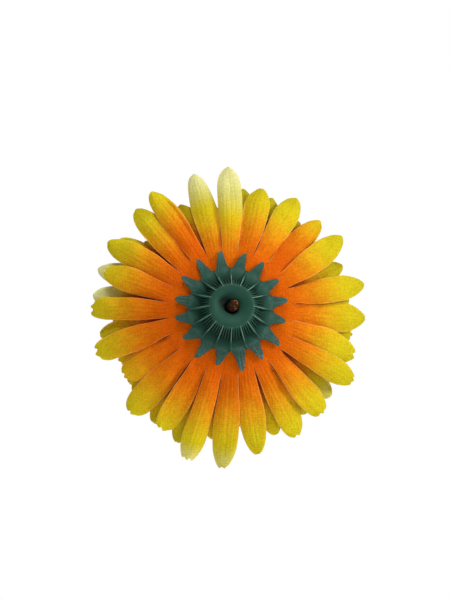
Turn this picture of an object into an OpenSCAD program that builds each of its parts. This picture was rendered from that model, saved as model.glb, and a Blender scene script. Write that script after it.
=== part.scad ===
// Artificial gerbera head seen as a bench assembly: green calyx, three petal
// layers, a ring of short florets and a brown centre whose peg holds them all.
// Millimetres. +Y is the flower's back, -Y its face, +Z up.
// The origin is the centre of the flat land on the back of the calyx.

/* [Calyx] */
// Outer radius of the hub's flat land, where a clip is glued
land_r = 7.5; // [7.2:0.1:7.9]
// Inner radius of the flat land, where the shallow dish starts
dish_r = 6.3; // [5.4:0.1:6.8]
// Depth of the dish at the peg hole
dish_depth = 1.3; // [0.9:0.1:1.6]
// Radius of the peg hole's mouth
hole_r = 2.6; // [2.5:0.05:3]
// Radius of the leaf tips of the calyx
sepal_reach = 20.8; // [19.5:0.1:21.5]
// Radius of the notches between the leaf tips
sepal_notch = 15; // [14:0.1:16]
// Number of leaf tips
sepal_count = 16; // [10:1:20]
// Thickness of a moulded web
web_t = 0.4; // [0.3:0.05:0.6]

/* [Petal layers] */
// Thickness of a plain petal layer
layer_t = 0.4; // [0.3:0.05:0.5]
// Number of petals in each layer
petal_count = 24; // [16:1:24]
// Radius where the slits between petals start
slit_root = 20.5; // [19:0.5:23]
// Half width of a petal at its widest
petal_half_w = 4.7; // [3.5:0.1:5]
// Width of the slits between petals
slit_w = 0.4; // [0.3:0.1:0.8]
// Distance between two layers at the peg
layer_pitch = 1.4; // [1.3:0.05:1.6]

/* [Centre] */
// Radius of the brown centre disc
disc_r = 9.6; // [8:0.1:11]
// Height of the disc's dome
dome_h = 4.2; // [3:0.1:5]
// Radius of the peg that holds the layers
peg_r = 2.1; // [1.9:0.05:2.2]
// Number of short florets round the disc
floret_count = 32; // [20:1:40]
// Reach of the florets
floret_reach = 19; // [16:0.5:22]

/* [Hidden] */
$fn = 96;

over = 0.01;
tall = 40;
running_gap = 0.2;      // between the peg and the layers that turn on it
throat_depth = 3.2;     // where the hole narrows to grip the peg
boss_r = 4.2;
boss_end = 6.7;
peg_tip_r = 1.85;       // the melted end of the peg leans to one side
peg_tip_lean = 0.5;
peg_tip_depth = 0.5;

// Depth of each layer's middle surface: at the peg, and how fast it deepens.
back_depth = 7.2;
back_bowl = 0.0050;
middle_depth = back_depth + layer_pitch;
middle_bowl = 0.0062;
front_depth = middle_depth + layer_pitch;
front_bowl = 0.0074;
floret_depth = front_depth + layer_pitch;
floret_bowl = 0.0120;
disc_depth = floret_depth + floret_bowl * disc_r * disc_r + layer_t / 2 + running_gap;

// One reach in millimetres for each petal, clockwise from the top as seen
// from the back, and how many degrees its tip leans from its root.
back_reach = [58, 50, 52, 50, 52, 52, 50, 48, 51, 49, 50, 51,
              55, 54, 48, 50, 44, 50, 50, 48, 52, 53, 55, 56];
back_lean = [0, -1, -1, -2, -6, 0, 0, 2, -3, 1, 0, 3,
             2, 1, 0, 0, -1, -1, 3, 5, 2, 5, -1, 2];
middle_reach = [50, 49, 45, 46, 47, 45, 46, 44, 47, 45, 46, 44,
                45, 49, 47, 44, 43, 47, 46, 49, 51, 47, 46, 45];
middle_lean = [1, -1, 0, 2, -2, 0, 1, -1, 1, 0, 2, -2,
               0, 1, -1, 0, 2, 1, -1, 2, 0, -1, 1, -2];
front_reach = [42, 40, 43, 41, 42, 44, 41, 40, 42, 43, 41, 42,
               40, 43, 42, 41, 43, 40, 42, 41, 44, 42, 40, 43];
front_lean = [0, 1, -1, 2, 0, -2, 1, 0, -1, 1, 0, 2,
              -1, 0, 1, -2, 0, 1, 2, -1, 0, 1, -1, 0];
middle_turn = 6;        // the layers sit turned against each other
front_turn = -3;

// The clock angle runs clockwise from the top as seen from the back.
function spot(r, clock) = [r * cos(270 - clock), r * sin(270 - clock)];
function depth_at(r, deep, bowl) = -deep - bowl * r * r;

// The parts are drawn with the back up, then laid over so it faces +Y.
module lay_over() {
    rotate([-90, 0, 0]) children();
}

// A thin bowl of revolution that a petal layer is cut from.
module bowl(deep, bowl, r_in, r_out, thick) {
    rings = [for (k = [0:6]) r_in + (r_out - r_in) * k / 6];
    upper = [for (r = rings) [r, depth_at(r, deep, bowl) + thick / 2]];
    lower = [for (k = [6:-1:0]) [rings[k], depth_at(rings[k], deep, bowl) - thick / 2]];
    rotate_extrude() polygon(concat(upper, lower));
}

// Clock angle of a petal's middle line at radius r: it leans from root to tip.
function petal_line(k, r, reaches, leans, turn) =
    let (n = (k + petal_count) % petal_count)
        k * 360 / petal_count + turn
        + leans[n] * (r - slit_root) / (reaches[n] - slit_root);

// Half a petal's angle at radius r, kept clear of the neighbour on that side.
function petal_half(k, side, r, half_w, reaches, leans, turn) =
    let (
        to_next = abs(petal_line(k + side, r, reaches, leans, turn)
                      - petal_line(k, r, reaches, leans, turn))
    )
        min(asin(half_w / r), to_next / 2 - asin(slit_w / 2 / r));

// Outline of a whole layer: a slit root, then up one petal and down its far side.
module layer_outline(reaches, leans, turn) {
    pitch = 360 / petal_count;
    // share of the way from slit root to tip, and share of the full width there
    side = [[0.25, 0.9], [0.5, 0.98], [0.7, 1], [0.86, 0.74], [0.96, 0.38]];
    polygon([
        for (k = [0:petal_count - 1])
            let (
                reach = reaches[k],
                radii = [for (s = side) slit_root + (reach - slit_root) * s[0]],
                mids = [for (r = radii) petal_line(k, r, reaches, leans, turn)],
                before = [for (n = [0:4]) petal_half(k, -1, radii[n],
                          petal_half_w * side[n][1], reaches, leans, turn)],
                after = [for (n = [0:4]) petal_half(k, 1, radii[n],
                         petal_half_w * side[n][1], reaches, leans, turn)]
            )
                each concat(
                    [spot(slit_root, (k - 0.5) * pitch + turn)],
                    [for (n = [0:4]) spot(radii[n], mids[n] - before[n])],
                    [spot(reach, k * pitch + turn + leans[k])],
                    [for (n = [4:-1:0]) spot(radii[n], mids[n] + after[n])]
                )
    ]);
}

module petal_layer(deep, bowl, reaches, leans, turn) {
    intersection() {
        bowl(deep, bowl, peg_r + running_gap, max(reaches) + 1, layer_t);
        translate([0, 0, -tall]) linear_extrude(tall) layer_outline(reaches, leans, turn);
    }
}

// Half section of the calyx: dish, hub, skirt, inner boss and stepped hole.
module calyx_section() {
    polygon([
        [dish_r, 0], [land_r, 0], [8.0, -0.3], [8.3, -1.0], [8.5, -3.6], [9.0, -5.0],
        [10, -5.7], [13.2, -6.4], [15.6, -7.0], [18.4, -7.65], [22, -8.4],
        [22, -8.95], [18.2, -8.35], [15.4, -7.85], [13.1, -7.3], [10.2, -6.7],
        [8.4, -6.2], [7.5, -4.5], [7.3, -2.6],
        [boss_r, -2.6], [boss_r, -boss_end], [peg_r, -boss_end], [peg_r, -throat_depth],
        [hole_r, -throat_depth], [hole_r, -dish_depth]
    ]);
}

// Outline of the leaf tips: a notch, then one blunt pointed tip, round the rim.
module sepal_outline() {
    pitch = 360 / sepal_count;
    // radius and angle from the tip's middle line
    half_tip = [[17.3, 6.2], [19.4, 3.0], [20.5, 1.4]];
    reach_share = sepal_reach / 20.8;
    polygon([
        for (k = [0:sepal_count - 1])
            let (mid = k * pitch - pitch / 2)
                each concat(
                    [spot(sepal_notch, mid - pitch / 2)],
                    [for (p = half_tip) spot(p[0] * reach_share, mid - p[1])],
                    [spot(sepal_reach, mid)],
                    [for (n = [2:-1:0]) spot(half_tip[n][0] * reach_share, mid + half_tip[n][1])]
                )
    ]);
}

// Upright webs at the given clock angles, from the hub out to r_out.
module webs(clocks, r_out, top_out) {
    intersection() {
        rotate_extrude() polygon([
            [7.7, -0.6], [8.1, -0.6], [r_out, top_out], [r_out, top_out - 0.4],
            [10.1, -6.2], [8.8, -5.5], [7.9, -4.4], [7.7, -2.2]
        ]);
        for (clock = clocks) {
            rotate([0, 0, 270 - clock])
                translate([7, -web_t / 2, -tall])
                    cube([r_out, web_t, tall]);
        }
    }
}

// Long webs run to the notches, with three short ones between each pair.
module calyx() {
    pitch = 360 / sepal_count;
    long_clocks = [for (k = [0:sepal_count - 1]) k * pitch];
    short_clocks = [for (clock = long_clocks) for (n = [1:3]) clock + n * pitch / 4];
    color("#37574A") lay_over() union() {
        intersection() {
            rotate_extrude() calyx_section();
            translate([0, 0, -tall]) linear_extrude(tall + over) sepal_outline();
        }
        webs(long_clocks, 14.8, -6.6);
        webs(short_clocks, 11.2, -5.6);
    }
}

module back_petals() {
    color("#E3861C") lay_over()
        petal_layer(back_depth, back_bowl, back_reach, back_lean, 0);
}

module middle_petals() {
    color("#D9AE16") lay_over()
        petal_layer(middle_depth, middle_bowl, middle_reach, middle_lean, middle_turn);
}

module front_petals() {
    color("#E9B81C") lay_over()
        petal_layer(front_depth, front_bowl, front_reach, front_lean, front_turn);
}

module inner_florets() {
    pitch = 360 / floret_count;
    root_r = 11;
    color("#D9740F") lay_over() intersection() {
        bowl(floret_depth, floret_bowl, peg_r + running_gap, floret_reach + 1, layer_t);
        translate([0, 0, -tall]) linear_extrude(tall) polygon([
            for (k = [0:floret_count - 1])
                each [
                    spot(root_r, (k - 0.5) * pitch),
                    spot(floret_reach - 3, (k - 0.38) * pitch),
                    spot(floret_reach, k * pitch),
                    spot(floret_reach - 3, (k + 0.38) * pitch)
                ]
        ]);
    }
}

// Domed disc with its peg: the peg passes through every layer into the calyx.
module centre_button() {
    ball_r = (disc_r * disc_r + dome_h * dome_h) / (2 * dome_h);
    rim_h = 1.2;
    color("#4A2A12") lay_over() union() {
        intersection() {
            translate([0, 0, -disc_depth - rim_h - dome_h + ball_r]) sphere(r = ball_r);
            translate([0, 0, -disc_depth - rim_h - dome_h])
                cylinder(r = disc_r + 1, h = dome_h + over);
        }
        translate([0, 0, -disc_depth - rim_h]) cylinder(r = disc_r, h = rim_h);
        translate([0, 0, -disc_depth - over]) cylinder(r = peg_r, h = disc_depth - throat_depth + over);
        translate(concat(spot(peg_tip_lean, 40), -throat_depth - over))
            cylinder(r = peg_tip_r - over, h = throat_depth - peg_tip_depth + over);
    }
}

calyx();
back_petals();
middle_petals();
front_petals();
inner_florets();
centre_button();
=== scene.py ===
import bpy
import math
import random
from mathutils import Matrix, Vector, noise


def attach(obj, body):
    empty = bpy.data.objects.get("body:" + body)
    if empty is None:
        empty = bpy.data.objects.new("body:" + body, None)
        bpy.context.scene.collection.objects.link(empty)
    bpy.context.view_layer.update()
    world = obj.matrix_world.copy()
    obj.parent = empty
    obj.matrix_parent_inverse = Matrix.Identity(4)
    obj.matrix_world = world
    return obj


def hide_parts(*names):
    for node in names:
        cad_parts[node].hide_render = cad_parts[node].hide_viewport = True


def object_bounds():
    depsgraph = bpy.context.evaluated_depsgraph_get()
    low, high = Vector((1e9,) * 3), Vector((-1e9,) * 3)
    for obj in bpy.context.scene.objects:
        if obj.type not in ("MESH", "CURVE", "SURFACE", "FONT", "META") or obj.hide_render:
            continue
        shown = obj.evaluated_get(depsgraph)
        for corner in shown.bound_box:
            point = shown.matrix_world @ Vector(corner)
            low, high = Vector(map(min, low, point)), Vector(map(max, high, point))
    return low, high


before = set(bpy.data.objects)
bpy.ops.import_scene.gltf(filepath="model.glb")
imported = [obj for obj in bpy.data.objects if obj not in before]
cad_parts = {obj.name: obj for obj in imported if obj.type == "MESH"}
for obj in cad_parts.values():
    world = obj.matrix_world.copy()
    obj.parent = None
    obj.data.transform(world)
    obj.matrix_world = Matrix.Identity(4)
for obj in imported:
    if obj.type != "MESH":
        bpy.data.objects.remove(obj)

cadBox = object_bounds()
mm = 0.001


def hexColour(code):
    # sRGB hex to linear
    parts = [int(code[n:n + 2], 16) / 255 for n in (1, 3, 5)]
    return (*[p / 12.92 if p <= 0.04045 else ((p + 0.055) / 1.055) ** 2.4 for p in parts], 1.0)


def clockPoint(r, clock, depth):
    # the clock runs clockwise from the top, seen from the back; depth grows towards the face
    a = math.radians(clock)
    return Vector((-r * math.sin(a), -depth, r * math.cos(a))) * mm


def clockOf(spot):
    return math.degrees(math.atan2(-spot.x, spot.z)) % 360


def smooth(low, high, x):
    t = min(1.0, max(0.0, (x - low) / (high - low)))
    return t * t * (3 - 2 * t)


def bell(x, middle, width):
    return math.exp(-((x - middle) / width) ** 2)


def between(points, x):
    # straight lines through (x, y) points
    if x <= points[0][0]:
        return points[0][1]
    for (x0, y0), (x1, y1) in zip(points, points[1:]):
        if x <= x1:
            return y0 + (y1 - y0) * (x - x0) / (x1 - x0)
    return points[-1][1]


def activate(piece):
    if bpy.context.object and bpy.context.object.mode != "OBJECT":
        bpy.ops.object.mode_set(mode="OBJECT")
    bpy.ops.object.select_all(action="DESELECT")
    piece.select_set(True)
    bpy.context.view_layer.objects.active = piece


def startPiece(name, primitive, **settings):
    # adds a primitive with its axis along the flower's, places it in its mesh and names it
    bpy.ops.object.select_all(action="DESELECT")
    primitive(rotation=(math.pi / 2, 0, 0), **settings)
    piece = bpy.context.object
    bpy.ops.object.transform_apply(location=True, rotation=True, scale=True)
    piece.name = piece.data.name = name
    return piece


def selectFaces(piece, test):
    # edit mode with only the faces whose centre and normal pass the test
    activate(piece)
    bpy.ops.object.mode_set(mode="EDIT")
    bpy.ops.mesh.select_mode(type="FACE")
    bpy.ops.mesh.select_all(action="DESELECT")
    bpy.ops.object.mode_set(mode="OBJECT")
    for face in piece.data.polygons:
        face.select = test(face.center, face.normal)
    bpy.ops.object.mode_set(mode="EDIT")


def extrudeRows(rows):
    # pulls what is selected through (radius, depth) rows, sized to each row's radius
    for (r0, d0), (r1, d1) in zip(rows, rows[1:]):
        bpy.ops.mesh.extrude_region_move(TRANSFORM_OT_translate={"value": (0, (d0 - d1) * mm, 0)})
        bpy.ops.transform.resize(value=(r1 / r0, 1, r1 / r0), center_override=(0, -d1 * mm, 0))


def finishPiece(piece, material, creaseAngle, body, marks=None):
    # normals outwards, smooth shading, marks as point attributes, and what the piece belongs to
    activate(piece)
    bpy.ops.object.mode_set(mode="EDIT")
    bpy.ops.mesh.select_all(action="SELECT")
    bpy.ops.mesh.normals_make_consistent(inside=False)
    bpy.ops.object.mode_set(mode="OBJECT")
    for label, values in (marks or {}).items():
        piece.data.attributes.new(label, "FLOAT", "POINT").data.foreach_set("value", values)
    piece.data.materials.clear()
    piece.data.materials.append(material)
    bpy.ops.object.shade_smooth_by_angle(angle=math.radians(creaseAngle))
    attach(piece, body)


def addNode(tree, kind, links=None, stops=None, **settings):
    # stops are a colour ramp's places and colours
    node = tree.nodes.new(kind)
    for key, value in settings.items():
        setattr(node, key, value)
    for socket, source in (links or {}).items():
        if isinstance(source, bpy.types.NodeSocket):
            tree.links.new(source, node.inputs[socket])
        else:
            node.inputs[socket].default_value = source
    for n, (place, colour) in enumerate(stops or []):
        elements = node.color_ramp.elements
        element = elements[n] if n < len(elements) else elements.new(1.0)
        element.position = place
        element.color = hexColour(colour)
    return node


def newMaterial(name):
    material = bpy.data.materials.new(name)
    material.use_nodes = True
    return material, material.node_tree, material.node_tree.nodes["Principled BSDF"]


ripeSpan = 10      # mm of petal for each unit of the mark "ripe", which is 0 where orange turns yellow
dyeSpan = 50       # mm of petal that the dye's colours are spread over

clothLook = {
    "threadMm": 0.55,      # thread spacing, drawn coarser than the real 0.25 mm so that it shows
    "fibreMm": 0.7,        # size of the tufts of stray fibres, coarser than the real 0.1 mm
    "streakShift": 0.14,   # how far streaks, spray and fibres shift the dye's colours
    "grainShift": 0.12,
    "fibreShift": 0.07,
    # the dye's colours at so many mm from where a petal turns yellow
    "dyeAndShade": [(-14, "#DD5F08"), (-8, "#DF6F0B"), (-4, "#E18110"), (0, "#E19914"), (4, "#DCAE18"),
            (9, "#D6BE1A"), (17, "#C8B91A")],
    "cream": "#E6E195",
    "cutEdge": "#F2C27A",  # pale fibre ends along the cut
    "creaseShadeShift": 0.03,   # how much painted shade and highlight along the long creases darken and lighten the dye
    "creaseMm": 0.2,       # depth of the creases
    "grainMm": 0.14,       # depth of the weave
    "roughness": 0.85,
    "sheen": 0.02,
    "sheenRoughness": 0.4,
    "specular": 0.03,
}

# the middle sheet is painted dark red at its root, as painted shade that shows in the slits of the other
# sheets
slitShadeLook = dict(clothLook, dyeAndShade=[
    (-14, "#8A2604"), (-8, "#A83C07"), (-4, "#C25C0B"), (0, "#D08012")] + clothLook["dyeAndShade"][4:])


def printedPolyester(name, look):
    # heat-pressed polyester cloth, printed: matt, with a fine thread grain and an airbrushed dye
    # that runs from orange at the root to yellow, in soft streaks along each petal
    material, tree, shader = newMaterial(name)
    ripe = addNode(tree, "ShaderNodeAttribute", attribute_name="ripe").outputs["Fac"]
    across = addNode(tree, "ShaderNodeAttribute", attribute_name="across").outputs["Fac"]
    tone = addNode(tree, "ShaderNodeAttribute", attribute_name="tone").outputs["Fac"]
    cream = addNode(tree, "ShaderNodeAttribute", attribute_name="cream").outputs["Fac"]
    place = addNode(tree, "ShaderNodeTexCoord").outputs["Object"]

    # streaks: noise stretched along the petal, and the grain of the sprayed dye
    strip = addNode(tree, "ShaderNodeCombineXYZ", {"X": across, "Y": ripe, "Z": tone}).outputs[0]
    long = addNode(tree, "ShaderNodeMapping", {"Vector": strip, "Scale": (2.4, 0.9, 9.0)}).outputs[0]
    streak = addNode(tree, "ShaderNodeTexNoise", {
        "Vector": long, "Scale": 2.2, "Detail": 4.0}).outputs["Fac"]
    fuzz = addNode(tree, "ShaderNodeTexNoise", {
        "Vector": place, "Scale": 1 / (look["fibreMm"] * mm), "Detail": 3.0}).outputs["Fac"]
    spray = addNode(tree, "ShaderNodeTexNoise", {
        "Vector": place, "Scale": 420.0, "Detail": 4.0}).outputs["Fac"]

    # the middle of the colour ramp is where the petal turns from orange to yellow
    at = addNode(tree, "ShaderNodeMath", {0: ripe, 1: ripeSpan / dyeSpan, 2: 0.5},
                 operation="MULTIPLY_ADD").outputs[0]
    for shift, part in (("streakShift", streak), ("grainShift", spray), ("fibreShift", fuzz)):
        level = addNode(tree, "ShaderNodeMath", {0: part, 1: -0.5}, operation="ADD").outputs[0]
        at = addNode(tree, "ShaderNodeMath", {0: level, 1: look[shift], 2: at},
                     operation="MULTIPLY_ADD").outputs[0]
    # the dye's colours, and on the middle sheet the painted shade of the slits
    stops = [(0.5 + where / dyeSpan, colour) for where, colour in look["dyeAndShade"]]
    dyedAndShaded = addNode(tree, "ShaderNodeValToRGB", {"Fac": at}, stops=stops).outputs["Color"]
    pale = addNode(tree, "ShaderNodeMath", {0: cream, 1: spray, 2: cream}, operation="MULTIPLY_ADD",
                   use_clamp=True).outputs[0]
    dyedAndShaded = addNode(tree, "ShaderNodeMix", {0: pale, 6: dyedAndShaded, 7: hexColour(look["cream"])},
                   data_type="RGBA").outputs[2]

    # the cut edge, where the white fibre shows through the dye
    beside = addNode(tree, "ShaderNodeMath", {0: across}, operation="ABSOLUTE").outputs[0]
    rim = addNode(tree, "ShaderNodeMapRange", {
        "Value": beside, "From Min": 0.92, "From Max": 1.0, "To Max": 0.42}).outputs["Result"]
    dyedAndShaded = addNode(tree, "ShaderNodeMix", {0: rim, 6: dyedAndShaded, 7: hexColour(look["cutEdge"])},
                   data_type="RGBA").outputs[2]

    # fine creases that run the length of a petal
    fineStrip = addNode(tree, "ShaderNodeMapping", {"Vector": strip, "Scale": (5.5, 0.8, 23.0)}).outputs[0]
    crease = addNode(tree, "ShaderNodeTexNoise", {
        "Vector": fineStrip, "Scale": 1.6, "Detail": 3.0}).outputs["Fac"]

    # crossed threads, broken up by stray fibres
    waves = math.tau / (20 * look["threadMm"] * mm)
    threads = []
    for direction in ("X", "Z"):
        threads.append(addNode(tree, "ShaderNodeTexWave", {
            "Vector": place, "Scale": waves, "Distortion": 4.0, "Detail": 2.0, "Detail Scale": 0.6},
            bands_direction=direction).outputs["Fac"])
    weave = addNode(tree, "ShaderNodeMath", {0: threads[0], 1: threads[1]},
                    operation="MULTIPLY").outputs[0]
    weave = addNode(tree, "ShaderNodeMath", {0: weave, 1: 0.45, 2: fuzz},
                    operation="MULTIPLY_ADD").outputs[0]
    speckle = addNode(tree, "ShaderNodeMapRange", {
        "Value": weave, "From Min": 0.30, "From Max": 0.95, "To Min": 0.80, "To Max": 1.18}).outputs["Result"]
    # painted shade and highlight: the dye is darker in the creases' hollows and lighter on their ridges
    low, high = 1 - 2 * look["creaseShadeShift"], 1 + 2 * look["creaseShadeShift"]
    creaseShading = addNode(tree, "ShaderNodeMapRange", {
        "Value": crease, "To Min": low, "To Max": high}).outputs["Result"]
    speckle = addNode(tree, "ShaderNodeMath", {0: creaseShading, 1: speckle}, operation="MULTIPLY").outputs[0]

    # no two petals took quite the same amount of dye; a low tone on the middle sheet's listed petals is
    # painted shade
    shade = addNode(tree, "ShaderNodeMapRange", {"Value": tone, "To Min": 0.92, "To Max": 1.04},
                    clamp=False).outputs["Result"]
    shade = addNode(tree, "ShaderNodeMath", {0: shade, 1: speckle}, operation="MULTIPLY").outputs[0]
    dyedAndShaded = addNode(tree, "ShaderNodeVectorMath", {0: dyedAndShaded, "Scale": shade}, operation="SCALE").outputs[0]
    tree.links.new(dyedAndShaded, shader.inputs["Base Color"])

    folds = addNode(tree, "ShaderNodeBump", {
        "Height": crease, "Strength": 0.8, "Distance": look["creaseMm"] * mm})
    grain = addNode(tree, "ShaderNodeBump", {
        "Height": weave, "Strength": 0.55, "Distance": look["grainMm"] * mm,
        "Normal": folds.outputs["Normal"]})
    tree.links.new(grain.outputs["Normal"], shader.inputs["Normal"])
    shader.inputs["Roughness"].default_value = look["roughness"]
    shader.inputs["Sheen Weight"].default_value = look["sheen"]
    shader.inputs["Sheen Roughness"].default_value = look["sheenRoughness"]
    shader.inputs["Specular IOR Level"].default_value = look["specular"]
    return material


calyxLook = {
    # the greens run from the near-black painted shade of the grooves to the pale worn edges
    "shades": [(0.0, "#041A12"), (0.35, "#1E4A3C"), (0.7, "#36584B"), (1.0, "#6A9A87")],
    # the grey-blue of the painted highlights on the leaves
    "highlightGrey": "#76868A",
    "cloudSize": 300.0,    # patches of the colour, per metre
    "fineSize": 1400.0,    # grain of the skin and of the bloom
    "grainMm": 0.1,
    "roughness": 0.58,
    "specular": 0.15,
    "refraction": 1.51,
}


def mouldedPolyethylene(name, look):
    # injection-moulded green polyethylene: waxy satin, with painted shade darkening the grooves and the dish
    # round the hole, paler where handling has rubbed the webs and leaf tips, and grey-blue painted highlights
    # on the leaves
    material, tree, shader = newMaterial(name)
    place = addNode(tree, "ShaderNodeTexCoord").outputs["Object"]
    cloud = addNode(tree, "ShaderNodeTexNoise", {
        "Vector": place, "Scale": look["cloudSize"], "Detail": 4.0}).outputs["Fac"]
    fine = addNode(tree, "ShaderNodeTexNoise", {
        "Vector": place, "Scale": look["fineSize"], "Detail": 4.0}).outputs["Fac"]
    wearAndPaintedLight = addNode(tree, "ShaderNodeAttribute", attribute_name="wearAndPaintedLight").outputs["Fac"]
    paintedHighlight = addNode(tree, "ShaderNodeAttribute", attribute_name="paintedHighlight").outputs["Fac"]
    spread = addNode(tree, "ShaderNodeMath", {0: cloud, 1: -0.5}, operation="ADD").outputs[0]
    level = addNode(tree, "ShaderNodeMath", {0: spread, 1: 0.22, 2: wearAndPaintedLight},
                    operation="MULTIPLY_ADD").outputs[0]
    green = addNode(tree, "ShaderNodeValToRGB", {"Fac": level}, stops=look["shades"]).outputs["Color"]
    # grey-blue painted highlights, in flecks, on the leaves and the skirt's edge
    patch = addNode(tree, "ShaderNodeMapRange", {
        "Value": fine, "From Min": 0.34, "From Max": 0.74}).outputs["Result"]
    patch = addNode(tree, "ShaderNodeMath", {0: patch, 1: paintedHighlight}, operation="MULTIPLY").outputs[0]
    green = addNode(tree, "ShaderNodeMix", {0: patch, 6: green, 7: hexColour(look["highlightGrey"])},
                    data_type="RGBA").outputs[2]
    tree.links.new(green, shader.inputs["Base Color"])
    grain = addNode(tree, "ShaderNodeBump", {
        "Height": fine, "Strength": 0.2, "Distance": look["grainMm"] * mm})
    tree.links.new(grain.outputs["Normal"], shader.inputs["Normal"])
    shader.inputs["Roughness"].default_value = look["roughness"]
    shader.inputs["Specular IOR Level"].default_value = look["specular"]
    shader.inputs["IOR"].default_value = look["refraction"]
    return material


centreLook = {
    "shades": [(0.1, "#100602"), (0.45, "#3A1B09"), (0.75, "#7C4B1D"), (1.0, "#BD8C4A")],
    "cloudSize": 1500.0,   # patches of the colour, per metre
    "grainMm": 0.1,
    "roughness": 0.6,
    "specular": 0.15,
}


def mouldedBrownPlastic(name, look):
    # the same polyethylene in brown: painted shade makes it nearly black between the seeds, a painted
    # highlight makes the peg's leaning side paler, and it is tan where it is torn
    material, tree, shader = newMaterial(name)
    place = addNode(tree, "ShaderNodeTexCoord").outputs["Object"]
    wearAndPaintedLight = addNode(tree, "ShaderNodeAttribute", attribute_name="wearAndPaintedLight").outputs["Fac"]
    cloud = addNode(tree, "ShaderNodeTexNoise", {
        "Vector": place, "Scale": look["cloudSize"], "Detail": 4.0}).outputs["Fac"]
    spread = addNode(tree, "ShaderNodeMath", {0: cloud, 1: -0.5}, operation="ADD").outputs[0]
    level = addNode(tree, "ShaderNodeMath", {0: spread, 1: 0.8, 2: wearAndPaintedLight},
                    operation="MULTIPLY_ADD").outputs[0]
    brown = addNode(tree, "ShaderNodeValToRGB", {"Fac": level}, stops=look["shades"]).outputs["Color"]
    tree.links.new(brown, shader.inputs["Base Color"])
    grain = addNode(tree, "ShaderNodeBump", {
        "Height": cloud, "Strength": 0.3, "Distance": look["grainMm"] * mm})
    tree.links.new(grain.outputs["Normal"], shader.inputs["Normal"])
    shader.inputs["Roughness"].default_value = look["roughness"]
    shader.inputs["Specular IOR Level"].default_value = look["specular"]
    return material


# room for each cloth layer between its neighbours, so that they still turn freely, mm
layerRoom = {
    "pitch": 1.4,          # between two layers at the peg
    "widening": 0.0012,    # and how it grows with the radius squared
    "spare": 0.22,         # kept free on either side
    "underLeaves": 0.3, "leafRing": 15, "leafSlope": 0.03,
    "pastLeaves": 5, "leafEnds": (21.5, 27),
}


def halfRoom(r):
    return (layerRoom["pitch"] + layerRoom["widening"] * r * r) / 2 - layerRoom["spare"]


def openRoom(r):
    # under the leaves of the calyx the cloth is pressed flatter, and past them it is free
    pressed = layerRoom["underLeaves"] + layerRoom["leafSlope"] * max(0, r - layerRoom["leafRing"])
    return pressed + layerRoom["pastLeaves"] * smooth(*layerRoom["leafEnds"], r)


# each layer: lengths in mm, leans in degrees, and petals numbered clockwise from the top
backPetals = {
    "seed": 3, "count": 24, "columns": 30, "rows": 38, "hole": 2.3, "slitRoot": 22,
    "deep": 7.2, "bowl": 0.0050, "turn": 0,      # depth at the peg, its growth with the radius squared
    "reach": [58, 50, 52, 50, 52, 52, 50, 48, 51, 49, 50, 51,
              55, 54, 48, 50, 44, 50, 50, 48, 52, 53, 55, 56],
    "lean": [0, -1, -1, -2, -6, 0, 0, 2, -3, 1, 0, 3,
             2, 1, 0, 0, -1, -1, 3, 5, 2, 5, -1, 2],
    "halfWidth": 4.5, "arch": 1.15, "curl": (-0.9, 0.9), "step": 0.5, "pleat": 0.12, "cloth": 0.25,
    # radius where the orange turns yellow: a mean, its swing round the clock, and the odd petals
    "turnYellow": 36, "turnSwing": 2, "turnClock": 240,
    "oddTurns": {0: 29, 1: 35, 3: 42, 7: 32, 22: 42, 23: 31},
    # cream tips: how pale, and from what share of the petal's length
    "cream": {0: (0.75, 0.35), 23: (0.7, 0.52), 12: (0.3, 0.75), 13: (0.35, 0.8)},
    "teeth": {1: 0.3, 5: 0.2, 6: 0.3, 7: 0.9, 8: 0.6, 9: 0.7, 10: 0.6, 12: 0.5, 13: 0.7, 14: 0.6, 15: 0.5,
              16: 0.7, 17: 1.0, 18: 0.9, 19: 0.5},
    "rolled": {22: 1.6, 4: 0.8, 9: 0.9, 14: 0.8},                          # mm that an edge is rolled up
    "pointed": {5: 0.72, 6: 0.72, 8: 0.65, 11: 0.7, 12: 0.8, 13: 0.7},     # petals with a narrower tip
    "broad": {4: 1.08, 5: 1.16, 6: 1.2, 7: 1.1, 9: 1.08, 10: 1.08, 15: 1.08, 16: 1.08},
    "paintedShade": {},                                                          # petals painted darker, as painted shade under the sheet above
    "below": halfRoom, "above": openRoom,
}
middlePetals = dict(
    backPetals, seed=8, deep=8.6, bowl=0.0062, turn=6,
    reach=[50, 49, 45, 46, 47, 45, 46, 44, 47, 45, 46, 44,
           45, 49, 47, 44, 43, 47, 50, 51, 50, 47, 46, 45],
    lean=[1, -1, 0, 2, -2, 0, 1, -1, 1, 0, 2, -2,
          0, 1, -1, 0, 2, 1, 4, 0, 0, -1, 1, -2],
    curl=(-0.8, 0.8), turnYellow=34, oddTurns={}, cream={18: (0.75, 0.5), 19: (0.75, 0.5), 8: (0.2, 0.7)},
    teeth={6: 0.7, 7: 0.9, 15: 0.7, 16: 0.8, 12: 0.6}, pointed={}, broad={}, rolled={}, above=halfRoom,
    # painted shade on the middle sheet's petals that lie in the shadow of the back sheet
    paintedShade={21: -2, 22: -2, 23: -2.4, 0: -2, 1: -1.5, 2: -1.5, 13: -1, 14: -1, 15: -0.6},
)
frontPetals = dict(
    backPetals, seed=14, deep=10.0, bowl=0.0074, turn=-3,
    reach=[42, 40, 43, 41, 42, 44, 41, 40, 42, 43, 41, 42,
           40, 43, 42, 41, 43, 40, 42, 41, 44, 42, 40, 43],
    lean=[0, 1, -1, 2, 0, -2, 1, 0, -1, 1, 0, 2,
          -1, 0, 1, -2, 0, 1, 2, -1, 0, 1, -1, 0],
    curl=(-2.2, 0.6), turnYellow=31, turnSwing=2, oddTurns={}, cream={5: (0.3, 0.6), 20: (0.4, 0.6)},
    teeth={2: 0.7, 9: 0.6, 17: 0.5}, pointed={}, broad={}, rolled={}, below=openRoom, above=halfRoom,
)
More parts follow.
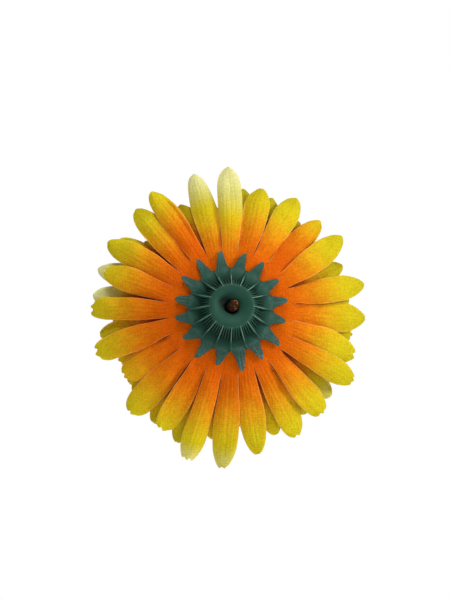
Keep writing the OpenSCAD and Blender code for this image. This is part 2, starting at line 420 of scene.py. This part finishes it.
innerFlorets = {
    "seed": 21, "count": 32, "columns": 8, "rows": 18, "hole": 2.3, "slitRoot": 11,
    "deep": 11.4, "bowl": 0.0120, "turn": 0,
    "reach": [19, 18, 18.6, 17.6, 19.2, 18.2, 18.8, 17.8],
    "lean": [0, 3, -2, 1, -3, 2],
    "halfWidth": 1.35, "arch": 0.35, "curl": (-2.4, -0.6), "step": 0.1, "pleat": 0.04, "cloth": 0.25,
    "turnYellow": 14.5, "turnSwing": 1, "turnClock": 225, "oddTurns": {},
    "cream": {}, "teeth": {}, "pointed": {}, "broad": {}, "rolled": {}, "paintedShade": {},
    "below": lambda r: 6, "above": lambda r: 0.35,
}


def turnRadius(look, k):
    k = k % look["count"]
    clock = math.radians(k * 360 / look["count"] - look["turnClock"])
    return look["oddTurns"].get(k, look["turnYellow"] + look["turnSwing"] * math.cos(clock))


# the least and the most that one petal differs from the next
petalSpread = {
    "teeth": (0, 0.15), "wide": (0.92, 1.06), "shoulder": (0.5, 0.64), "point": (0.48, 0.6),
    "arch": (0.6, 1.3), "bow": (-0.5, 0.5), "roll": (-0.8, 0.8), "keel": (0.2, 0.8), "keelAt": (-0.35, 0.35),
}


def drawPetals(look):
    # every petal's own line, width and small faults
    draw = random.Random(look["seed"])
    count = look["count"]
    pitch = 360 / count

    def vary(part):
        return draw.uniform(*petalSpread[part])

    over = [draw.choice((1, -1)) for k in range(count)]      # which side of each slit lies on top
    petals = []
    for k in range(count):
        reach, lean = look["reach"][k % len(look["reach"])], look["lean"][k % len(look["lean"])]
        rootClock = math.radians(k * pitch + look["turn"])
        tipClock = math.radians(k * pitch + look["turn"] + lean)
        root = Vector((-math.sin(rootClock), math.cos(rootClock))) * look["slitRoot"]
        root *= math.cos(math.radians(pitch / 2))
        tip = Vector((-math.sin(tipClock), math.cos(tipClock))) * reach
        axis = (tip - root).normalized()
        teeth = look["teeth"].get(k, vary("teeth"))
        blunt = min(1, 1.5 * teeth)
        petals.append({
            "reach": reach, "root": root, "tip": tip, "axis": axis, "teeth": teeth,
            "side": Vector((-axis.y, axis.x)),                 # towards the next petal clockwise
            "wide": look["halfWidth"] * vary("wide"), "tipHalf": 0.6 + 1.5 * teeth,
            "shoulder": vary("shoulder") + 0.1 * blunt, "point": vary("point") - 0.1 * blunt,
            "arch": look["arch"] * vary("arch"), "curl": draw.uniform(*look["curl"]),
            "wave": draw.uniform(0, math.tau), "tone": draw.random(), "bow": vary("bow"),
            "roll": vary("roll"), "keel": vary("keel"), "keelAt": vary("keelAt"),
            "cream": look["cream"].get(k, (0, 0)),
            "left": -look["step"] * over[k - 1], "right": look["step"] * over[k],
            "rolled": look["rolled"].get(k, 0), "turn": turnRadius(look, k),
        })
        # painted shade replaces the random tone for the listed petals
        petals[k]["tone"] = look["paintedShade"].get(k, petals[k]["tone"])
        petals[k]["point"] = look["pointed"].get(k, petals[k]["point"])
        petals[k]["wide"] *= look["broad"].get(k, 1)
    return petals


petalOutline = {
    "swell": 0.8,          # how soon a petal widens from its root
    "taper": 2.5,          # how late it narrows past its shoulder
    "wobble": 0.025, "wobbles": 11,          # uneven cutting: share of the width, radians over the length
    "toothDepth": 1.1, "toothWaves": 1.7,    # mm, and waves across half the width
    "tipRound": 0.22,      # how far the tip's corners fall back, as a share of the half width
}


def petalHalfWidth(petal, s, rootHalf):
    # s runs from 0 at the slits' root to 1 at the tip
    if s < petal["shoulder"]:
        rise = smooth(0, 1, s / petal["shoulder"]) ** petalOutline["swell"]
        return rootHalf + (petal["wide"] - rootHalf) * rise
    t = (s - petal["shoulder"]) / (1 - petal["shoulder"])
    fall = (1 - t ** petalOutline["taper"]) ** petal["point"]
    return petal["tipHalf"] + (petal["wide"] - petal["tipHalf"]) * fall


petalPressing = {
    # lines pressed along each petal: place across it from -1 to 1, depth in mm
    "veins": [(0, 0.15), (-0.42, 0.1), (0.42, 0.1), (0.72, 0.07), (-0.72, 0.07)],
    "veinWidth": 0.085,
    "ripple": 0.22, "ripples": 5.5,          # slow waves along it: mm, radians over the length
    "crumple": 0.9, "crumples": 0.16,        # uneven swell: mm, swells per mm
}


def petalLift(look, petal, s, v, plan):
    # how far the cloth stands off the pressed bowl, towards the back, mm
    free = smooth(0, 0.35, s)
    lift = smooth(0, 0.12, s) * (petal["left"] * (1 - v) / 2 + petal["right"] * (1 + v) / 2)
    lift += petal["arch"] * free * (0.30 - abs(v) ** 3.2)
    lift += petal["roll"] * v * smooth(0.3, 1, s)
    lift += petal["keel"] * free * (0.4 - math.hypot(v - petal["keelAt"], 0.12))
    for vein, depth in petalPressing["veins"]:
        onVein = bell(v, vein * (1 - 0.25 * s), petalPressing["veinWidth"])
        lift -= depth * onVein * (1 - smooth(0.8, 1, s))
    lift += look["pleat"] * (1 - v * v) * (1 - free)
    lift += petal["curl"] * smooth(0.45, 1, s) ** 2
    lift += petal["rolled"] * smooth(0.55, 1, v) * smooth(0.1, 0.4, s) * (1 - smooth(0.75, 1, s))
    lift += free * petalPressing["ripple"] * math.sin(petalPressing["ripples"] * s + petal["wave"])
    swells = Vector((plan.x * petalPressing["crumples"], plan.y * petalPressing["crumples"], look["seed"]))
    return lift + free * petalPressing["crumple"] * noise.noise(swells)


uvSquare = 130     # mm of cloth across the whole map


def petalSheet(name, look, body, node, material):
    # one die-cut sheet: a pressed middle, then a tongue of cloth for each petal
    count, columns, rows, slitRoot = look["count"], look["columns"], look["rows"], look["slitRoot"]
    pitch = 360 / count
    rootHalf = slitRoot * math.sin(math.radians(pitch / 2))
    verts, flat, faces = [], [], []          # flat is the plan of the cut, before it was pressed
    marks = {"ripe": [], "across": [], "tone": [], "cream": []}

    def addPoint(plan, lift, *values):
        r = plan.length
        lift = max(-look["below"](r), min(look["above"](r), lift))
        verts.append((plan.x * mm, (lift - look["deep"] - look["bowl"] * r * r) * mm, plan.y * mm))
        flat.append(plan)
        for label, value in zip(marks, values):
            marks[label].append(value)
        return len(verts) - 1

    petals = drawPetals(look)
    ringColumns = count * columns
    lastRing = 9
    rings = [look["hole"] + (slitRoot - look["hole"]) * (n / lastRing) ** 0.8 for n in range(lastRing + 1)]
    for r in rings:
        for c in range(ringColumns):
            k, part = divmod(c / columns, 1)
            k = int(k)
            clock = math.radians((k + part - 0.5) * pitch + look["turn"])
            v = part * 2 - 1
            pleat = look["pleat"] * (1 - v * v) * smooth(0.55, 1.0, r / slitRoot)
            near = turnRadius(look, k - 1 if part < 0.5 else k + 1)
            turn = turnRadius(look, k) + (near - turnRadius(look, k)) * 0.5 * smooth(0.4, 1, abs(v))
            addPoint(Vector((-math.sin(clock), math.cos(clock))) * r, pleat, (r - turn) / ripeSpan, v * 0.85,
                     petals[k % count]["tone"], 0)
    for ring in range(lastRing):
        for c in range(ringColumns):
            a, b, d = ring * ringColumns, (ring + 1) * ringColumns, (c + 1) % ringColumns
            faces.append((a + c, b + c, b + d, a + d))

    outer = lastRing * ringColumns
    for k, petal in enumerate(petals):
        before = [outer + (k * columns + c) % ringColumns for c in range(columns + 1)]
        for row in range(1, rows + 1):
            s = 1 - (1 - row / rows) ** 1.25
            middle = petal["root"].lerp(petal["tip"], s)
            middle += petal["side"] * petal["bow"] * math.sin(math.pi * s)
            half = petalHalfWidth(petal, s, rootHalf)
            wobble = math.sin(petalOutline["wobbles"] * s + 2 * petal["wave"]) * smooth(0.1, 0.4, s)
            half *= 1 + petalOutline["wobble"] * wobble
            along = slitRoot + (petal["reach"] - slitRoot) * s
            line = []
            for c in range(columns + 1):
                v = c / columns * 2 - 1
                tooth = 0.5 - 0.5 * math.cos(v * petalOutline["toothWaves"] * math.pi + petal["wave"])
                back = petal["teeth"] * petalOutline["toothDepth"] * tooth * smooth(0.8, 1, s)
                back += petalOutline["tipRound"] * half * v * v * smooth(0.3, 1, s)
                plan = middle + petal["side"] * half * v - petal["axis"] * back
                ripe = (along - petal["turn"]) / ripeSpan - 0.15 * v * v
                cream = petal["cream"][0] * smooth(petal["cream"][1], 1, s)
                line.append(addPoint(
                    plan, petalLift(look, petal, s, v, plan), ripe, v, petal["tone"], cream))
            for c in range(columns):
                faces.append((before[c], line[c], line[c + 1], before[c + 1]))
            before = line

    mesh = bpy.data.meshes.new(name)
    mesh.from_pydata(verts, [], faces)
    for label, values in marks.items():
        mesh.attributes.new(label, "FLOAT", "POINT").data.foreach_set("value", values)
    uv = mesh.uv_layers.new(name="flatCut")
    for loop in mesh.loops:
        uv.data[loop.index].uv = flat[loop.vertex_index] / uvSquare + Vector((0.5, 0.5))
    sheet = bpy.data.objects.new(name, mesh)
    bpy.context.collection.objects.link(sheet)
    thick = sheet.modifiers.new("clothThickness", "SOLIDIFY")
    thick.thickness = look["cloth"] * mm
    thick.offset = 0
    activate(sheet)
    bpy.ops.object.modifier_apply(modifier=thick.name)
    finishPiece(sheet, material, 60, body)
    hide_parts(node)


calyxShape = {
    "seed": 5, "sepals": 16, "websPerSepal": 4, "columnsPerWeb": 8,
    "webTop": 0.17,      # half width of a web's top edge, mm
    "webFoot": 0.30,
    "notch": 15,         # radius of the notches between the leaf tips
    "notchDepth": 6.85,
    # the back of the moulding from the hole outwards: radius, depth
    "outside": [
        (2.60, 3.20), (2.60, 1.80), (2.66, 1.56), (2.82, 1.40), (3.1, 1.26), (3.5, 1.08), (4.1, 0.84),
        (4.8, 0.56), (5.4, 0.34), (5.9, 0.17), (6.3, 0.06), (6.7, 0.01), (7.1, 0.0), (7.4, 0.05),
        (7.62, 0.14), (7.8, 0.28), (7.94, 0.46), (8.04, 0.68), (8.12, 0.96), (8.2, 1.35), (8.27, 1.8),
        (8.33, 2.3), (8.42, 2.95), (8.5, 3.6), (8.62, 4.3), (8.85, 4.85), (9.25, 5.3), (9.8, 5.62),
        (10.4, 5.82), (11.2, 6.0), (12.0, 6.16), (12.7, 6.32), (13.4, 6.48), (14.1, 6.64), (14.7, 6.78),
        (15.0, 6.85),
    ],
    "longWeb": [(7.7, 0.16), (8.2, 0.42), (9.0, 1.35), (10.5, 2.9), (12.5, 4.85), (14.9, 6.62)],
    "shortWeb": [(7.8, 0.30), (8.15, 0.62), (8.7, 1.9), (9.4, 3.5), (10.2, 4.9), (10.9, 5.9)],
    # the turned form past the notches, before its points are moved: rows, and mm out and deeper for each,
    # its wall, and the radius and depth of its rim
    "leafRows": 14, "leafStep": 0.41, "leafDrop": 0.09, "leafWall": 0.95, "leafRim": (20.9, 8.4),
    "skirtWave": 0.12,   # how far the skirt swells in the middle of each leaf, mm
    "draggedTo": 301,    # clock of the side where the peg pulled the dish down, where the peg's painted shadow falls too
    "dragged": 0.85,     # and how far, mm
    "leafDepth": [(15, 6.85), (16.5, 7.20), (18, 7.52), (19.5, 7.86), (20.8, 8.16), (23, 8.7)],
    "leafThick": [(15, 0.95), (18, 0.72), (20.8, 0.5), (23, 0.45)],
    "leafCrown": 0.42,   # height of a leaf's rounded back, and of the ribs along it, mm
    "leafRibs": 0.06,
    # outline of one leaf tip: share of its length, half width
    "leafLength": 6.3,
    "leafCurls": 5.8,    # mm past the notch where a leaf's curl, fold and bend are full
    "leafHalf": [(0, 2.95), (0.06, 2.42), (0.16, 2.0), (0.34, 1.66), (0.6, 1.34), (0.8, 1.02), (0.91, 0.74),
                 (0.97, 0.46), (1, 0)],
    # each leaf, clockwise from the top: mm longer or shorter, degrees bent sideways, share of painted
    # highlight
    "leafReach": [0.3, 0, -0.6, -0.4, -1.3, 0.2, -0.5, 0.9, -0.8, 0, -1.4, -1.3, -1.1, -0.2, 0.7, 0.9],
    "leafSway": [2.9, 0.2, 0.7, 0.7, 0.4, 1.4, 0.7, 0.1, 2.8, 1.8, 2.6, 3.0, -0.3, 0.7, 0.7, 1.4],
    "leafHighlight": [0.3, 0.3, 0.4, 0.6, 0.5, 1.0, 1.0, 1.0, 0.9, 0.6, 0.5, 0.5, 0.6, 0.6, 0.4, 0.4],
    "inside": [(13.1, 7.30), (10.2, 6.7), (8.4, 6.2), (7.5, 4.5), (7.3, 2.6), (4.2, 2.6), (4.2, 6.7),
               (2.1, 6.7), (2.1, 3.20)],
}


def buildCalyx(shape, material):
    sepals = shape["sepals"]
    pitch = 360 / sepals
    perLeaf = shape["websPerSepal"] * shape["columnsPerWeb"]
    total = sepals * perLeaf
    webPitch = pitch / shape["websPerSepal"]
    draw = random.Random(shape["seed"])
    leaves = [{
        "reach": shape["leafReach"][k], "sway": shape["leafSway"][k], "paintedHighlight": shape["leafHighlight"][k],
        "curl": draw.uniform(-0.15, 0.55), "fold": draw.uniform(0.05, 0.22), "roll": draw.uniform(-0.3, 0.3),
    } for k in range(sepals)]

    # turn the closed section: a circle pulled through its rows, its last row bridged to its first
    rows = [("outside", n, r, depth) for n, (r, depth) in enumerate(shape["outside"])]
    leafRows = shape["leafRows"]
    notch, notchDepth, step, drop = shape["notch"], shape["notchDepth"], shape["leafStep"], shape["leafDrop"]
    rows += [("leaf", n, notch + n * step, notchDepth + n * drop) for n in range(1, leafRows + 1)]
    rows += [("rim", leafRows, *shape["leafRim"])]
    rows += [("under", n, notch + n * step, notchDepth + shape["leafWall"] + n * drop)
             for n in range(leafRows - 1, -1, -2)]
    rows += [("inside", n, r, depth) for n, (r, depth) in enumerate(shape["inside"])]
    calyx = startPiece("calyxMoulding", bpy.ops.mesh.primitive_circle_add, vertices=total,
                       radius=rows[0][2] * mm, location=(0, -rows[0][3] * mm, 0))
    activate(calyx)
    bpy.ops.object.mode_set(mode="EDIT")
    bpy.ops.mesh.select_mode(type="VERT")
    bpy.ops.mesh.select_all(action="SELECT")
    extrudeRows([row[2:] for row in rows])
    bpy.ops.mesh.select_all(action="DESELECT")
    bpy.ops.mesh.select_non_manifold()
    bpy.ops.mesh.bridge_edge_loops()
    bpy.ops.object.mode_set(mode="OBJECT")

    def leafPoint(angle, offset, share, leaf, under):
        # angle in degrees from the leaf's middle line, offset in mm beside it
        v = max(-1, min(1, (angle + math.degrees(offset / notch)) / (pitch / 2)))
        end = 1 - abs(v) ** 1.6                                # where on the leaf's outline this column ends
        half = math.copysign(between(shape["leafHalf"], end), v)
        r = notch + (shape["leafLength"] + leaf["reach"]) * end * share
        out = (r - notch) / shape["leafCurls"]
        across = v * shape["leafHalf"][0][1] * (1 - share) + half * share
        lift = leaf["curl"] * out * out + leaf["roll"] * v * out
        lift += shape["leafCrown"] * (1 - v * v) * smooth(0, 0.5, out) * (1 - smooth(0.85, 1.05, out))
        ribs = math.cos(v * 4 * math.tau) * smooth(-0.2, 0.3, out) * (1 - smooth(0.6, 0.95, out))
        lift += shape["leafRibs"] * ribs
        lift -= leaf["fold"] * bell(v, 0, 0.09) * smooth(-0.5, 0.2, out) * (1 - smooth(0.7, 1, out))
        depth = between(shape["leafDepth"], r) - lift * (0.8 if under else 1)
        if under:
            depth += between(shape["leafThick"], r)
        return math.degrees(across / r) + leaf["sway"] * out * out, r, depth, out

    # raise the webs and draw out the leaf tips by moving each point of the turned form;
    # the wear mark goes from 0 in the grooves, where it is painted shade, to 1 on worn edges
    rowOf, wearAndPaintedLight, highlighted = {}, [], []
    for vertex in calyx.data.vertices:
        spot = vertex.co / mm
        radius, depth = math.hypot(spot.x, spot.z), -spot.y
        key = (round(radius, 2), round(depth, 2))
        if key not in rowOf:
            rowOf[key] = min(rows, key=lambda row: (row[2] - radius) ** 2 + (row[3] - depth) ** 2)
        kind, n, r, depth = rowOf[key]
        column = round(clockOf(spot) / 360 * total) % total
        k, column = divmod(column, perLeaf)                    # column 0 is a notch and a long web
        leaf = leaves[k]
        web, beside = divmod(column + 3, shape["columnsPerWeb"])
        beside -= 3                                            # 0 on the web's middle line
        angle = web * webPitch - pitch / 2
        offset = 0
        if abs(beside) <= 2:
            offset = math.copysign((0, shape["webTop"], shape["webFoot"])[abs(beside)], beside)
        else:
            angle += (beside - math.copysign(2, beside)) * webPitch / 4
        wearShade, paintedHighlight = 0, 0
        if kind == "outside":
            isLong = web % shape["websPerSepal"] == 0
            line = shape["longWeb"] if isLong else shape["shortWeb"]
            depth -= shape["skirtWave"] * math.cos(math.radians(angle / pitch * 360)) * smooth(11, notch, r)
            # painted shade: darker near the hole and down the deep grooves under the rim, paler out towards
            # the leaves
            wearShade = 0.30 + 0.10 * smooth(3, 6, r) - 0.36 * smooth(7.9, 8.3, r) + 0.48 * smooth(9.5, 14.5, r)
            if abs(beside) <= 1 and line[0][0] <= r <= line[-1][0]:
                depth = min(depth, between(line, r))
                wearShade = 0.86 - 0.35 * smooth(11, 14.5, r) if isLong else 0.56 - 0.2 * smooth(8.6, 10.8, r)
            if r < 6 and n > 0:
                # the peg was pressed over to one side and dragged the dish's mouth down behind it; the dish
                # is painted darker there as the peg's painted shadow, and a little darker close round the
                # hole as painted shade
                around = (k * pitch + pitch / 2 + angle - shape["draggedTo"] + 180) % 360 - 180
                dragAndShadow = bell(around, 0, 44) * (1 - smooth(3.6, 6, r))
                depth += shape["dragged"] * dragAndShadow
                wearShade -= 0.42 * dragAndShadow + 0.05 * (1 - smooth(3.0, 5.0, r))
            offset *= min(1, r / 8.2)
            # painted highlight on the skirt past the notches
            if r > 14:
                paintedHighlight = 0.3 * leaf["paintedHighlight"]
        elif kind == "inside":
            wearShade = 0.3
        else:
            share = n / leafRows if kind != "rim" else 1.012
            startAngle = angle
            angle, r, depth, out = leafPoint(angle, offset, share, leaf, kind == "under")
            depth += between(shape["leafThick"], r) * 0.5 if kind == "rim" else 0
            if kind == "leaf" and n < 3:
                depth -= shape["skirtWave"] * math.cos(math.radians(startAngle / pitch * 360)) * (1 - n / 3)
            offset = 0
            # painted highlights in streaks along each leaf, heaviest on the leaves at the lower right
            streak = 0.7 + 0.5 * math.cos(column / perLeaf * 5 * math.tau + 2 * k)
            wearShade, paintedHighlight = 0.46 + 0.22 * out, leaf["paintedHighlight"] * (0.2 + 0.6 * out) * streak
        wearAndPaintedLight.append(wearShade)
        highlighted.append(paintedHighlight)
        clock = k * pitch + pitch / 2 + angle
        sideways = Vector((-math.cos(math.radians(clock)), 0, -math.sin(math.radians(clock))))
        vertex.co = clockPoint(r, clock, depth) + sideways * offset * mm
    finishPiece(calyx, material, 42, "core", {"wearAndPaintedLight": wearAndPaintedLight, "paintedHighlight": highlighted})
    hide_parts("calyx")
    print("calyx", len(calyx.data.vertices), "points")


centreShape = {
    "back": 13.0, "rim": 1.2, "radius": 9.6, "dome": 4.2, "seedFloor": 0.25,
    "pegRadius": 2.08, "throat": 3.2,
    "seeds": 300, "seedTurn": 137.508, "seed": 9,      # degrees from each seed to the next, as on a sunflower
    # the peg's melted end, which leans over towards a clock direction, mm
    "tipRadius": 1.95, "tipLean": 0.62, "tipClock": 68, "tipDepth": 0.55, "tipSlope": 0.35,
    "swellSize": 450, "roughSizes": (800, 2300), "tornSize": 2900,          # of its faults, per metre
}


def domeDepth(shape, r):
    ball = (shape["radius"] ** 2 + shape["dome"] ** 2) / (2 * shape["dome"])
    return shape["back"] + shape["rim"] + math.sqrt(max(0, ball * ball - r * r)) - (ball - shape["dome"])


def buildCentreDisc(shape, material):
    radius, back, peg = shape["radius"], shape["back"], shape["pegRadius"]
    front = back + shape["rim"]
    disc = startPiece("centreDisc", bpy.ops.mesh.primitive_cylinder_add, vertices=96, radius=radius * mm,
                      depth=shape["rim"] * mm, location=(0, -(back + front) / 2 * mm, 0))
    # face side: the dome that the seeds stand on
    selectFaces(disc, lambda centre, normal: normal.y < -0.9)
    dome = [(radius * f, domeDepth(shape, radius * f) - shape["seedFloor"])
            for f in (0.985, 0.95, 0.88, 0.78, 0.65, 0.5, 0.35, 0.2, 0.08)]
    extrudeRows([(radius, front)] + dome)
    bpy.ops.mesh.poke()
    # back side: narrow to the peg and pull it out to the throat of the calyx's hole
    selectFaces(disc, lambda centre, normal: normal.y > 0.9)
    extrudeRows([(radius, back), (peg + 0.3, back), (peg, back - 0.3), (peg, shape["throat"] + 0.15),
                 (peg - 0.15, shape["throat"])])
    bpy.ops.mesh.poke()
    bpy.ops.object.mode_set(mode="OBJECT")
    soft = disc.modifiers.new("rimRound", "BEVEL")
    soft.width = 0.2 * mm
    soft.segments = 2
    soft.angle_limit = math.radians(60)
    activate(disc)
    bpy.ops.object.modifier_apply(modifier=soft.name)
    marks = {"wearAndPaintedLight": [0.25] * len(disc.data.vertices)}
    finishPiece(disc, material, 40, "core", marks)
    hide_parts("centre_button")
    print("centre disc", len(disc.data.vertices), "points")


def buildSeeds(shape, material):
    # one six-sided seed of unit size with a domed tip, then a copy for each place of a sunflower spiral
    seed = startPiece("oneSeed", bpy.ops.mesh.primitive_cylinder_add, vertices=6, radius=mm, depth=0.65 * mm,
                      location=(0, -0.025 * mm, 0))
    selectFaces(seed, lambda centre, normal: normal.y < -0.9)
    extrudeRows([(1, 0.35), (0.72, 0.8), (0.34, 0.97), (0.05, 1.03)])
    bpy.ops.object.mode_set(mode="OBJECT")
    radius, dome, total = shape["radius"], shape["dome"], shape["seeds"]
    ball = (radius * radius + dome * dome) / (2 * dome)
    draw = random.Random(shape["seed"])
    copies, wearAndPaintedLight = [], []
    for n in range(total):
        share = math.sqrt((n + 0.5) / total)
        r, clock = radius * 0.985 * share, n * shape["seedTurn"]
        outward = clockPoint(1, clock, 0).normalized()
        slope = r / math.sqrt(ball * ball - r * r)
        up = (Vector((0, -1, 0)) + outward * (slope + 0.5 * share ** 4)).normalized()
        sideways = up.cross(outward).normalized()
        inward = sideways.cross(up)
        tall = (0.45 + 0.35 * share + 0.8 * smooth(0.8, 1, share)) * draw.uniform(0.85, 1.15)
        fat = (0.42 - 0.10 * smooth(0.8, 1, share)) * draw.uniform(0.9, 1.1)
        turn = Matrix((sideways * fat, -up * tall, inward * fat)).transposed().to_4x4()
        foot = clockPoint(r, clock, domeDepth(shape, r) - shape["seedFloor"])
        mesh = seed.data.copy()
        mesh.transform(Matrix.Translation(foot) @ turn)
        # painted shade: darker towards each seed's foot between the seeds, paler at its tip, and paler on the
        # outer seeds
        wearAndPaintedLight += [max(0, -vertex.co.y / mm) * (0.5 + 0.45 * share) for vertex in seed.data.vertices]
        copies.append(bpy.data.objects.new("seedCopy", mesh))
        bpy.context.collection.objects.link(copies[-1])
    bpy.data.objects.remove(seed)
    activate(copies[0])
    for copy in copies:
        copy.select_set(True)
    bpy.ops.object.join()
    seeds = bpy.context.object
    seeds.name = seeds.data.name = "centreSeeds"
    finishPiece(seeds, material, 70, "core", {"wearAndPaintedLight": wearAndPaintedLight})
    print("seeds", total)


def buildPegEnd(shape, material):
    # the melted end of the peg: it leans over in the hole, higher on its leaning side, and its top is torn
    foot, top, radius = shape["throat"] + 0.3, shape["tipDepth"], shape["tipRadius"]
    stub = startPiece("pegEnd", bpy.ops.mesh.primitive_cylinder_add, vertices=48, radius=radius * mm,
                      depth=0.2 * mm, location=(0, -(foot - 0.1) * mm, 0))
    selectFaces(stub, lambda centre, normal: normal.y > 0.9)
    sides = [(radius, foot - 0.2 - (foot - 0.2 - top) * n / 8) for n in range(9)]
    crown = [(radius * (1 - n / 12) ** 0.8, top - 0.02 * n) for n in range(1, 12)]
    extrudeRows(sides + crown)
    bpy.ops.mesh.poke()
    bpy.ops.object.mode_set(mode="OBJECT")
    lean = clockPoint(shape["tipLean"], shape["tipClock"], 0)
    towards = lean.normalized()
    wearAndPaintedLight = []
    for vertex in stub.data.vertices:
        spot = vertex.co.copy()
        high = smooth(foot * mm, top * mm, -spot.y)
        leaning = spot.dot(towards) / (radius * mm)            # -1 on the far side, 1 on the leaning side
        coarse, fine = [noise.noise(spot * size) for size in shape["roughSizes"]]
        rough = coarse * 0.6 + fine * 0.5
        swell = 1 + 0.14 * noise.noise(spot * shape["swellSize"]) * high
        spot.x, spot.z = spot.x * swell, spot.z * swell
        spot += lean * high
        spot.y += (rough + shape["tipSlope"] * leaning) * mm * smooth(0.5, 1, high)
        vertex.co = spot
        # the leaning side, which faces the key light, is painted paler as a highlight, and the torn tan
        # flecks lie on that side
        torn = smooth(-0.05, 0.16, noise.noise(spot * shape["tornSize"])) * smooth(-0.5, 0.4, leaning)
        wearAndPaintedLight.append(0.32 + (0.10 * leaning + 0.5 * torn) * high)
    finishPiece(stub, material, 50, "core", {"wearAndPaintedLight": wearAndPaintedLight})
    print("peg end", len(stub.data.vertices), "points")


backCloth = printedPolyester("printedPolyesterBack", clothLook)
middleCloth = printedPolyester("printedPolyesterMiddle", slitShadeLook)
frontCloth = printedPolyester("printedPolyesterFront", clothLook)
floretCloth = printedPolyester("printedPolyesterFloret", clothLook)
greenPlastic = mouldedPolyethylene("mouldedPolyethyleneGreen", calyxLook)
brownPlastic = mouldedBrownPlastic("mouldedPolyethyleneBrown", centreLook)

petalSheet("backPetalSheet", backPetals, "back_layer", "back_petals", backCloth)
petalSheet("middlePetalSheet", middlePetals, "middle_layer", "middle_petals",
           middleCloth)
petalSheet("frontPetalSheet", frontPetals, "front_layer", "front_petals", frontCloth)
petalSheet("innerFloretSheet", innerFlorets, "floret_ring", "inner_florets", floretCloth)
buildCalyx(calyxShape, greenPlastic)
buildCentreDisc(centreShape, brownPlastic)
buildSeeds(centreShape, brownPlastic)
buildPegEnd(centreShape, brownPlastic)


studioLook = {
    "floorDrop": 90,       # mm below the lowest petal
    "floorSize": 6,        # metres
    "paper": "#F4F4F2",
    "floorGlow": 0.06,     # the light that the paper throws back on the flower
    "floorPale": 0.6,      # and how much it glows to the eye, so that it stays pale far away
    "ambient": 0.17,
    "distance": 500,       # camera to the hub, mm
    "below": 12,           # degrees under the flower's axis
    "beside": 3.4,         # degrees towards +X
    "hubRight": 2.42, "hubDown": 1.96,      # where the hub sits from the picture's middle, mm
    "lens": 85.7,
    # each lamp: where it stands and how wide it is, in metres, and its watts
    "lamps": {
        "keyLight": ((-0.71, 0.34, 0.26), 0.25, 4.0),
        "topLight": ((0.06, 0.38, 0.74), 0.4, 4.2),
        "faceLight": ((0.35, -0.6, 0.45), 0.45, 5),
    },
}

floorZ = cadBox[0][2] - studioLook["floorDrop"] * mm
bpy.ops.object.select_all(action="DESELECT")
bpy.ops.mesh.primitive_plane_add(size=studioLook["floorSize"], location=(0, 0, floorZ))
floor = bpy.context.object
floor.name = "studioFloor"
paper, paperTree, paperShader = newMaterial("mattWhitePaper")
paperShader.inputs["Base Color"].default_value = hexColour(studioLook["paper"])
paperShader.inputs["Roughness"].default_value = 0.9
paperShader.inputs["Emission Color"].default_value = hexColour(studioLook["paper"])
seen = addNode(paperTree, "ShaderNodeLightPath").outputs["Is Camera Ray"]
paperGlow = addNode(paperTree, "ShaderNodeMapRange", {
    "Value": seen, "To Min": studioLook["floorGlow"], "To Max": studioLook["floorPale"]}).outputs["Result"]
paperTree.links.new(paperGlow, paperShader.inputs["Emission Strength"])
floor.data.materials.append(paper)

world = bpy.data.worlds.new("whiteStudio")
bpy.context.scene.world = world
world.use_nodes = True
worldTree = world.node_tree
backdrop = worldTree.nodes["Background"]
backdrop.inputs["Color"].default_value = (1, 1, 1, 1)
sight = addNode(worldTree, "ShaderNodeLightPath").outputs["Is Camera Ray"]
glow = addNode(worldTree, "ShaderNodeMapRange", {
    "Value": sight, "To Min": studioLook["ambient"], "To Max": 1.0}).outputs["Result"]
worldTree.links.new(glow, backdrop.inputs["Strength"])

for name, (spot, size, power) in studioLook["lamps"].items():
    light = bpy.data.lights.new(name, "AREA")
    light.shape = "DISK"
    light.size = size
    light.energy = power
    lamp = bpy.data.objects.new(name, light)
    bpy.context.collection.objects.link(lamp)
    lamp.location = spot
    lamp.rotation_euler = (-Vector(spot)).to_track_quat("-Z", "Y").to_euler()
print("studio lit")

camera = bpy.data.objects.new("camera", bpy.data.cameras.new("camera"))
bpy.context.collection.objects.link(camera)
beside, below = math.radians(studioLook["beside"]), math.radians(studioLook["below"])
away = Vector((math.sin(beside) * math.cos(below), math.cos(beside) * math.cos(below), -math.sin(below)))
turn = away.to_track_quat("Z", "Y")
right, up = turn @ Vector((1, 0, 0)), turn @ Vector((0, 1, 0))
aim = (up * studioLook["hubDown"] - right * studioLook["hubRight"]) * mm
camera.location = aim + away * studioLook["distance"] * mm
camera.rotation_euler = turn.to_euler()
camera.data.lens = studioLook["lens"]
camera.data.sensor_width = 36
camera.data.clip_start = 0.01
bpy.context.scene.camera = camera
bpy.context.scene.view_settings.view_transform = "Standard"
